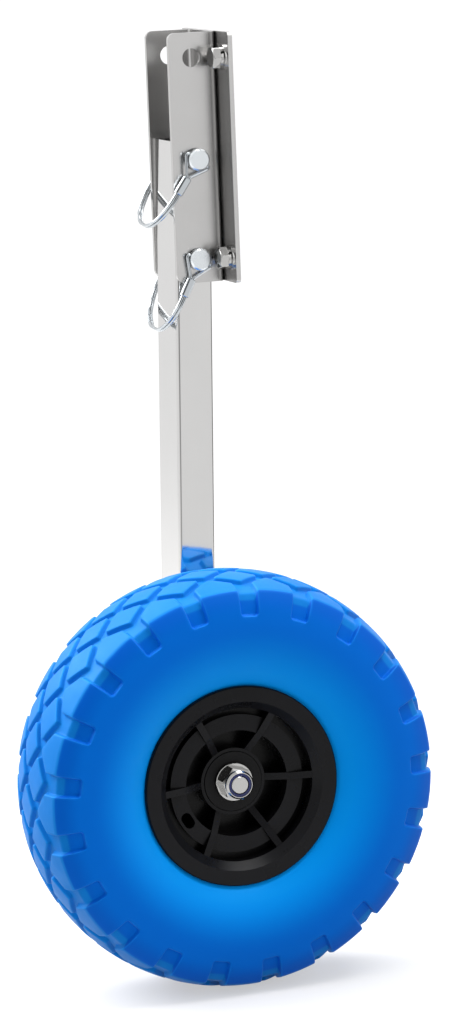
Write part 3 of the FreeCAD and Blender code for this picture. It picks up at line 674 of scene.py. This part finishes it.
def foam_material(look, centre, half_width):
    """Blue foam with a matt moulded skin, with painted shade under the shoulder and in the lugs' creases,
    painted light round the rim and painted highlights on the edges.
    """
    material, tree, shader = node_material("Foam Skin")
    grain = placed_group(tree, grain_group(), {"Grain Size": 0.7, "Patch Size": 45.0})
    tone = mixed(tree, grain["Patches"], rgba(look.foam_colour), rgba(look.foam_colour, 0.93))
    radius, offset = wheel_place(tree, centre)
    # Painted shade: the side wall under the shoulder is a deeper blue than the tread, deepest right under
    # the shoulder and easing off by the notches' ends.
    shoulder = half_width - look.shoulder_inset
    on_wall = span(tree, offset, shoulder, shoulder + 0.5 * look.shoulder_round)
    high = span(tree, radius, look.notch_end_radius, look.notch_end_radius + look.notch_shade)
    wall = mixed(tree, high, rgba(look.wall_shade_colour), rgba(look.shoulder_shade_colour))
    tone = mixed(tree, on_wall, tone, wall)
    # Painted light: the foam grows paler from the given radius in to the rim's lip.
    rim_light_share = span(tree, radius, look.rim_light_end, look.bead_radius)
    tone = mixed(tree, rim_light_share, tone, rgba(look.rim_light_colour))
    # Painted highlight on the tread's sharp edges and painted shade in the creases at the lugs' foot,
    # found by pointiness.
    point = add_node(tree, "ShaderNodeNewGeometry").outputs["Pointiness"]
    edge_highlight_and_crease_shade = ((*EDGE_HIGHLIGHT, look.edge_highlight_colour), (*CREASE_SHADE, look.crease_shade_colour))
    for begins, full, strength, colour in edge_highlight_and_crease_shade:
        share = math_node(tree, "MULTIPLY", span(tree, point, begins, full), strength)
        tone = mixed(tree, share, tone, rgba(colour))
    tree.links.new(tone, shader.inputs["Base Color"])
    rough = span(tree, grain["Patches"], 0.0, 1.0, 0.5, 0.58)
    tree.links.new(rough, shader.inputs["Roughness"])
    shader.inputs["Specular IOR Level"].default_value = 0.45
    shader.inputs["Specular Tint"].default_value = (0.05, 0.6, 1.0, 1.0)
    wire_bump(tree, shader, grain["Height"], strength=0.12, distance_mm=0.05)
    return material


# Bolts


def bolt_rings(look, length):
    """A bolt's outline from its head's top to its end, as rings of (distance along, radius)."""
    half_flats = look.bolt_flats / 2.0
    face, shank = half_flats * look.head_face_share, look.bolt_diameter / 2.0
    tip = shank - look.bolt_end_chamfer
    half_side = math.pi / 6.0
    face_ring, top, foot = [], [], []
    for k in range(BOLT_STEPS):
        angle = 2.0 * math.pi * k / BOLT_STEPS
        from_middle = (angle + half_side) % (2.0 * half_side) - half_side
        reach = half_flats / math.cos(from_middle)
        face_ring.append((0.0, face))
        top.append(((reach - face) * math.tan(look.head_chamfer), reach))
        foot.append((look.bolt_head, reach))
    round_rings = [(look.bolt_head, shank), (length - look.bolt_end_chamfer, shank), (length, tip)]
    return [face_ring, top, foot] + [[ring] * BOLT_STEPS for ring in round_rings]


def bolts_mesh(look, low, high):
    """Four hexagon bolts with chamfered heads, each turned as it was tightened."""
    mesh = bmesh.new()
    for across in (-0.5, 0.5):
        for upward, turn in ((0.5, look.upper_head_turn), (-0.5, look.lower_head_turn)):
            place = Vector((low.x, across * look.bolts_across, upward * look.bolts_up))
            loops = []
            for ring in bolt_rings(look, high.x - low.x):
                loops.append([])
                for k, (along, radius) in enumerate(ring):
                    angle = turn + 2.0 * math.pi * k / BOLT_STEPS
                    out = Vector((along, -radius * math.cos(angle), radius * math.sin(angle)))
                    loops[-1].append(mesh.verts.new(place + out))
            for ring, following in zip(loops, loops[1:]):
                for k in range(BOLT_STEPS):
                    after = (k + 1) % BOLT_STEPS
                    mesh.faces.new((ring[k], ring[after], following[after], following[k]))
            mesh.faces.new(loops[0])
            mesh.faces.new(loops[-1])
    bmesh.ops.recalc_face_normals(mesh, faces=mesh.faces)
    return finished(mesh, "turned_bolts")


# Sizes and colours


def colour_value(name, description, default):
    """A colour that the owner may change."""
    return bpy.props.FloatVectorProperty(
        name=name, description=description, default=default, subtype="COLOR", size=3, min=0.0, max=1.0
    )


def length_value(name, description, millimetres):
    """A length, given in millimetres and kept in metres."""
    length = millimetres * MM
    return bpy.props.FloatProperty(
        name=name, description=description, default=length, min=0.0, unit="LENGTH", subtype="DISTANCE"
    )


def angle_value(name, description, degrees):
    """An angle, given in degrees and kept in radians."""
    return bpy.props.FloatProperty(
        name=name, description=description, default=math.radians(degrees), subtype="ANGLE"
    )


def share_value(name, description, default, high=1.0):
    """A number between nothing and a highest value."""
    return bpy.props.FloatProperty(
        name=name, description=description, default=default, min=0.0, max=high, subtype="FACTOR"
    )


class TyreLook(bpy.types.PropertyGroup):
    foam_colour: colour_value("Foam", "Colour of the foam tyre", (0.004, 0.175, 0.60))
    # Painted highlight on the tread's edges
    edge_highlight_colour: colour_value("Foam Edge Highlight", "Painted highlight that the tread's edges fade to", (0.02, 0.30, 0.86))
    # Painted shade on the side wall under the shoulder, deepest right under it
    wall_shade_colour: colour_value(
        "Foam Wall Shade", "Painted shade on the side wall under the shoulder", (0.0, 0.123, 0.61)
    )
    shoulder_shade_colour: colour_value(
        "Foam Shoulder Shade", "Deepest painted shade, right under the shoulder", (0.0, 0.088, 0.52)
    )
    # Painted light round the rim
    rim_light_colour: colour_value(
        "Foam Rim Light", "Colour of the painted light round the rim", (0.0, 0.285, 0.86)
    )
    # Painted shade in the creases at the foot of the lugs
    crease_shade_colour: colour_value("Foam Crease Shade", "Painted shade at the foot of the lugs", (0.0, 0.085, 0.52))
    lug_count: bpy.props.IntProperty(
        name="Lugs", description="Shoulder lugs round the tyre", default=21, min=8
    )
    lug_phase: angle_value("First Lug", "Angle of one lug above +X", 9.993)
    lug_share: share_value("Lug Share", "Part of the pitch that a shoulder lug fills", 0.67)
    groove_depth: length_value("Groove Depth", "Depth of the tread's grooves", 3.2)
    groove_width: length_value("Groove Width", "Width of the grooves between diamonds", 5.0)
    diamond_rows: length_value("Diamond Rows", "Half the width of the three rows of diamonds", 29.0)
    shoulder_drop: length_value("Shoulder Drop", "How far the shoulder lies under the crown", 6.5)
    shoulder_inset: length_value("Shoulder Inset", "How far the shoulder lies inside the side wall", 7.0)
    wall_over_shoulder: length_value(
        "Wall Over Shoulder", "How far the wall's curve passes the shoulder", 1.5
    )
    notch_end_radius: length_value("Notch End", "Radius at which the shoulder's notches end", 112.5)
    notch_shade: length_value(
        "Notch Shade", "Length over which the wall deepens above the notches' ends", 13.0
    )
    bulge_radius: length_value("Bulge", "Radius at which the side wall is widest", 101.0)
    bead_radius: length_value("Bead Radius", "Radius of the lip at the rim", 67.0)
    # Where the painted light round the rim ends
    rim_light_end: length_value("Rim Light End", "Radius at which the painted light round the rim ends", 106.0)
    bead_offset: length_value("Bead Offset", "The lip's distance from the wheel's middle", 31.0)
    bead_seat_radius: length_value("Seat Radius", "Radius of the rim's flange under the lip", 65.0)
    bead_seat_offset: length_value("Seat Offset", "The flange's distance from the wheel's middle", 28.5)
    barrel_radius: length_value("Barrel Radius", "Radius of the rim's barrel", 51.5)
    barrel_offset: length_value(
        "Barrel Offset", "Where the barrel begins, from the wheel's middle", 25.0
    )
    belly_in: length_value("Belly In", "How far the belly's middle point lies inwards", 3.0)
    belly_drop: length_value("Belly Drop", "How far the belly lies inside the widest place", 3.6)
    shoulder_round: length_value("Shoulder Round", "Length of the rounding at the shoulder's edge", 1.6)
    shoulder_blend: length_value(
        "Shoulder Blend", "Length over which a groove's floor turns the shoulder", 6.0
    )
    corner_round: length_value("Corner Round", "Radius of the lugs' corners", 2.0)
    edge_softness: length_value("Edge Softness", "Width of the lugs' soft edges", 1.0)
    facet: length_value("Facet", "Size of the mesh's facets", 3.2)


class BoltLook(bpy.types.PropertyGroup):
    bolt_diameter: length_value("Bolt", "Diameter of the transom bolts", 8.0)
    bolt_flats: length_value("Flats", "Size across the flats of a bolt's head", 13.0)
    bolt_head: length_value("Head", "Height of a bolt's head", 5.3)
    bolt_end_chamfer: length_value("End Chamfer", "Chamfer at a bolt's end", 0.7)
    bolts_across: length_value("Bolts Across", "Distance between the bolts across the plate", 68.0)
    bolts_up: length_value("Bolts Up", "Distance between the bolts along the plate", 128.0)
    head_face_share: share_value("Head Face", "Part of the flats that the head's round face fills", 0.95)
    head_chamfer: angle_value("Head Chamfer", "Slope of the chamfer round a head", 30.0)
    upper_head_turn: angle_value("Upper Turn", "How far the upper heads are turned", 25.0)
    lower_head_turn: angle_value("Lower Turn", "How far the lower heads are turned", 47.0)


class SteelLook(bpy.types.PropertyGroup):
    bracket_colour: colour_value("Bracket", "Colour of the satin bracket", (0.53, 0.525, 0.52))
    bracket_roughness: share_value(
        "Bracket Roughness", "How blurred the bracket's reflections are", 0.24
    )
    leg_colour: colour_value("Leg", "Colour of the polished leg", (0.645, 0.64, 0.635))
    leg_roughness: share_value("Leg Roughness", "How blurred the leg's reflections are", 0.07)
    fastener_colour: colour_value("Fasteners", "Colour of bolts, nut and washers", (0.40, 0.397, 0.39))
    zinc_colour: colour_value("Zinc", "Colour of the plated pins", (0.70, 0.735, 0.76))
    wire_colour: colour_value("Wire", "Colour of the bails and their ferrules", (0.52, 0.55, 0.575))


class PlasticLook(bpy.types.PropertyGroup):
    rim_colour: colour_value("Rim", "Colour of the moulded rim", (0.0048, 0.0048, 0.0058))
    bush_colour: colour_value("Bushes", "Colour of the hub's bushes", (0.0065, 0.0065, 0.007))
    ring_colour: colour_value("Nut's Ring", "Colour of the nut's nylon ring", (0.004, 0.010, 0.08))


class StageLook(bpy.types.PropertyGroup):
    floor_colour: colour_value("Floor", "Colour of the floor", (0.45, 0.45, 0.45))
    floor_glow: share_value(
        "Floor Glow", "White that the camera and mirrors see added to the far floor", 0.74
    )
    near_glow: share_value("Near Glow", "The same on the floor that the lamps reach", 0.50)
    air_level: share_value("Air", "Light from all round", 0.66, 2.0)
    key_power: bpy.props.FloatProperty(
        name="Key", description="Power of the soft box", default=22.0, unit="POWER"
    )
    room_level: share_value(
        "Room", "How bright the side of the studio with the camera looks in steel", 0.06
    )


class CameraLook(bpy.types.PropertyGroup):
    place: bpy.props.FloatVectorProperty(
        name="Place", description="Where the camera stands",
        default=(-0.9177, -2.5075, 0.2102), unit="LENGTH",
    )
    lens: bpy.props.FloatProperty(
        name="Lens", description="Focal length in millimetres", default=145.11, unit="CAMERA"
    )


GROUPS = {
    "tyre_look": TyreLook,
    "bolt_look": BoltLook,
    "steel_look": SteelLook,
    "plastic_look": PlasticLook,
    "stage_look": StageLook,
    "camera_look": CameraLook,
}


# Operators


class AddCamera(bpy.types.Operator):
    """Stands the camera where the picture was taken from"""

    bl_idname = "launching_wheel.add_camera"
    bl_label = "Camera"

    def execute(self, context):
        look = context.scene.camera_look
        data = bpy.data.cameras.new("camera")
        data.lens = look.lens
        data.sensor_width = SENSOR_WIDTH
        data.clip_end = CAMERA_REACH
        camera = bpy.data.objects.new("camera", data)
        context.scene.collection.objects.link(camera)
        right = CAMERA_RIGHT.normalized()
        back = (CAMERA_BACK - right * CAMERA_BACK.dot(right)).normalized()
        turn = Matrix((right, back.cross(right), back)).transposed()
        camera.matrix_world = Matrix.Translation(look.place) @ turn.to_4x4()
        context.scene.camera = camera
        return {"FINISHED"}


def seen_or_mirrored(tree):
    """One for rays from the camera, and for those that polished or clear things send on."""
    paths = add_node(tree, "ShaderNodeLightPath").outputs
    either = math_node(tree, "MAXIMUM", paths["Is Camera Ray"], paths["Is Glossy Ray"])
    return math_node(tree, "MAXIMUM", either, paths["Is Transmission Ray"]), paths


class AddStage(bpy.types.Operator):
    """Lays the pale floor and hangs the soft light"""

    bl_idname = "launching_wheel.add_stage"
    bl_label = "Stage"

    def execute(self, context):
        look = context.scene.stage_look
        floor_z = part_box("tyre")[0].z
        mesh = bmesh.new()
        bmesh.ops.create_grid(mesh, x_segments=8, y_segments=8, size=FLOOR_HALF)
        for vert in mesh.verts:
            leant = FLOOR_LEAN * (vert.co.y + FLOOR_HALF)
            vert.co.x = FLOOR_NARROW * vert.co.x + FLOOR_ACROSS + leant
            vert.co.y += FLOOR_BACK
            vert.co.z = floor_z - FLOOR_GAP
        floor = bpy.data.objects.new("floor", finished(mesh, "floor"))
        context.scene.collection.objects.link(floor)
        floor.data.materials.append(self.floor_material(look))
        self.world(context.scene, look)
        for name, (share, place, size) in LAMPS.items():
            self.lamp(name, look.key_power * share, place, size)
        context.scene.view_settings.view_transform = "Standard"
        return {"FINISHED"}

    def floor_material(self, look):
        """Paper that keeps the object's shadow and glows white for the camera and for mirrors."""
        material, tree, shader = node_material("Paper Floor")
        grain = placed_group(tree, grain_group(), {"Grain Size": 2.0, "Patch Size": 400.0})
        tone = mixed(tree, grain["Patches"], rgba(look.floor_colour), rgba(look.floor_colour, 0.985))
        tree.links.new(tone, shader.inputs["Base Color"])
        shader.inputs["Roughness"].default_value = 0.9
        shader.inputs["Specular IOR Level"].default_value = 0.1
        seen, _ = seen_or_mirrored(tree)
        place = add_node(tree, "ShaderNodeTexCoord").outputs["Object"]
        away = vector_node(tree, "LENGTH", place)
        level = span(tree, away, GLOW_FROM, GLOW_TO, look.near_glow, look.floor_glow)
        glow = add_node(tree, "ShaderNodeEmission", {"Strength": math_node(tree, "MULTIPLY", seen, level)})
        both = add_node(tree, "ShaderNodeAddShader", {0: shader.outputs[0], 1: glow.outputs[0]})
        output = next(node for node in tree.nodes if node.type == "OUTPUT_MATERIAL")
        tree.links.new(both.outputs[0], output.inputs["Surface"])
        return material

    def world(self, scene, look):
        """White for the camera, plain light for rough things, and a studio with dark sides for steel."""
        scene.world = world = bpy.data.worlds.new("studio")
        world.use_nodes = True
        tree = world.node_tree
        tree.nodes.clear()
        output = tree.nodes.new("ShaderNodeOutputWorld")
        seen, paths = seen_or_mirrored(tree)
        way = add_node(tree, "ShaderNodeTexCoord").outputs["Generated"]
        room, flag = [self.dark_side(tree, way, look, *side) for side in (CAMERA_SIDE, FLAG_SIDE)]
        room = math_node(tree, "MINIMUM", room, flag)
        mirrored = mixed(tree, paths["Is Glossy Ray"], (1.0, 1.0, 1.0, 1.0), room)
        air = rgba((look.air_level,) * 3)
        both = mixed(tree, seen, air, mirrored)
        sky = add_node(tree, "ShaderNodeBackground", {"Color": both, "Strength": 1.0})
        tree.links.new(sky.outputs[0], output.inputs["Surface"])

    def dark_side(self, tree, way, look, middle, begins, full):
        """White that falls to the room's level round one direction."""
        toward = vector_node(tree, "DOT_PRODUCT", way, middle)
        return span(tree, toward, begins, full, 1.0, look.room_level)

    def lamp(self, name, power, place, size):
        """Hangs a square lamp that looks at the object."""
        data = bpy.data.lights.new(name, "AREA")
        data.shape = "RECTANGLE"
        data.size = data.size_y = size
        data.energy = power
        lamp = bpy.data.objects.new(name, data)
        bpy.context.scene.collection.objects.link(lamp)
        lamp.location = place
        aim = LAMPS_AIM - Vector(place)
        lamp.rotation_euler = aim.to_track_quat("-Z", "Y").to_euler()


class DressBracket(bpy.types.Operator):
    """Gives the plate and the folded channel their satin steel"""

    bl_idname = "launching_wheel.dress_bracket"
    bl_label = "Bracket"

    def execute(self, context):
        look = context.scene.steel_look
        steel = steel_material(
            "Satin Bracket Steel", look.bracket_colour, look.bracket_roughness,
            stretch=(1.0, 1.0, 0.03), line_size=0.35, line_depth=0.006, smear=0.03,
        )
        dress(["base_plate", "channel"], steel)
        return {"FINISHED"}


class DressLeg(bpy.types.Operator):
    """Gives the tube its mirror polish"""

    bl_idname = "launching_wheel.dress_leg"
    bl_label = "Leg"

    def execute(self, context):
        look = context.scene.steel_look
        steel = steel_material(
            "Polished Tube Steel", look.leg_colour, look.leg_roughness,
            stretch=(1.0, 1.0, 0.015), line_size=0.3, line_depth=0.006, smear=0.02,
        )
        dress(["leg_tube"], steel)
        return {"FINISHED"}


class DressFasteners(bpy.types.Operator):
    """Turns the transom bolts, and gives them, the nut and the washers their bright steel"""

    bl_idname = "launching_wheel.dress_fasteners"
    bl_label = "Fasteners"

    def execute(self, context):
        look = context.scene.steel_look
        steel = steel_material(
            "Turned Fastener Steel", look.fastener_colour,
            roughness=0.08, stretch=EVEN, line_size=0.25, line_depth=0.015, smear=0.05,
        )
        dress(
            [
                "transom_spring_washers", "transom_flat_washers", "axle_bolt", "axle_nut",
                "axle_outer_washer", "axle_leg_washer", "axle_head_washer", "hub_sleeve",
            ],
            steel,
        )
        low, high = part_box("transom_bolts")
        mesh = bolts_mesh(context.scene.bolt_look, low, high)
        piece = new_piece("turned_bolts", mesh, "bracket", steel, ["transom_bolts"])
        edges = piece.modifiers.new("soft_edges", "BEVEL")
        edges.width = BOLT_EDGE_WIDTH
        edges.segments = 2
        edges.limit_method = "ANGLE"
        edges.angle_limit = BOLT_EDGE_ANGLE
        return {"FINISHED"}


class DressPins(bpy.types.Operator):
    """Plates the pins, the wire bails and their ferrules"""

    bl_idname = "launching_wheel.dress_pins"
    bl_label = "Pins and Bails"

    def execute(self, context):
        look = context.scene.steel_look
        plated = steel_material(
            "Zinc Plated Pin", look.zinc_colour,
            roughness=0.26, stretch=EVEN, line_size=0.5, line_depth=0.05, smear=0.08,
        )
        dress(["upper_pin", "lower_pin"], plated)
        wire = steel_material(
            "Bright Sprung Wire", look.wire_colour,
            roughness=0.14, stretch=EVEN, line_size=0.4, line_depth=0.02, smear=0.05,
        )
        dress(["upper_bail", "lower_bail", "upper_ferrule", "lower_ferrule"], wire)
        return {"FINISHED"}


class DressTyre(bpy.types.Operator):
    """Moulds the foam tyre with its soft-edged diamonds and shoulder lugs"""

    bl_idname = "launching_wheel.dress_tyre"
    bl_label = "Tyre"

    def execute(self, context):
        look = context.scene.tyre_look
        low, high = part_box("tyre")
        centre = (low + high) / 2.0
        half_width = (high.y - low.y) / 2.0
        mesh = tyre_mesh(look, (high.z - low.z) / 2.0, half_width, centre)
        foam = foam_material(look, centre, half_width)
        piece = new_piece("foam_tyre", mesh, "wheel", foam, ["tyre"])
        weigh = piece.modifiers.new("even_normals", "WEIGHTED_NORMAL")
        weigh.keep_sharp = False
        return {"FINISHED"}


class DressRim(bpy.types.Operator):
    """Gives the rim halves, the bushes and the nut's ring their moulded plastics"""

    bl_idname = "launching_wheel.dress_rim"
    bl_label = "Rim and Bushes"

    def execute(self, context):
        look = context.scene.plastic_look
        rim = plastic_material(
            "Rim Plastic", look.rim_colour,
            roughness=0.25, grain_size=0.9, grain_depth=0.05, patch=0.3, shine=0.12,
        )
        dress(["rim_near", "rim_far"], rim)
        bush = plastic_material(
            "Bush Plastic", look.bush_colour,
            roughness=0.42, grain_size=0.5, grain_depth=0.08, patch=0.2, shine=0.12,
        )
        dress(["hub_bush_near", "hub_bush_far"], bush)
        ring = plastic_material(
            "Nylon Ring", look.ring_colour,
            roughness=0.3, grain_size=0.4, grain_depth=0.05, patch=0.15, shine=0.4,
        )
        dress(["nylon_insert"], ring)
        return {"FINISHED"}


OPERATORS = (
    AddCamera, AddStage, DressBracket, DressLeg, DressFasteners, DressPins, DressTyre, DressRim,
)


class LaunchingWheelPanel(bpy.types.Panel):
    """Every piece of the launching wheel, and what its owner may change"""

    bl_idname = "VIEW3D_PT_launching_wheel"
    bl_label = "Launching Wheel"
    bl_space_type = "VIEW_3D"
    bl_region_type = "UI"
    bl_category = "Launching Wheel"

    def draw(self, context):
        for operator in OPERATORS:
            self.layout.operator(operator.bl_idname)
        for key, kind in GROUPS.items():
            box = self.layout.box()
            box.label(text=kind.__name__)
            for label in kind.__annotations__:
                box.prop(getattr(context.scene, key), label)


def register():
    for kind in (*GROUPS.values(), *OPERATORS, LaunchingWheelPanel):
        bpy.utils.register_class(kind)
    for key, kind in GROUPS.items():
        setattr(bpy.types.Scene, key, bpy.props.PointerProperty(type=kind))


def unregister():
    for key in GROUPS:
        delattr(bpy.types.Scene, key)
    for kind in reversed((*GROUPS.values(), *OPERATORS, LaunchingWheelPanel)):
        bpy.utils.unregister_class(kind)


def main():
    register()
    for operator in OPERATORS:
        group, name = operator.bl_idname.split(".")
        getattr(getattr(bpy.ops, group), name)()
    bpy.context.view_layer.update()


if __name__ == "__main__":
    main()
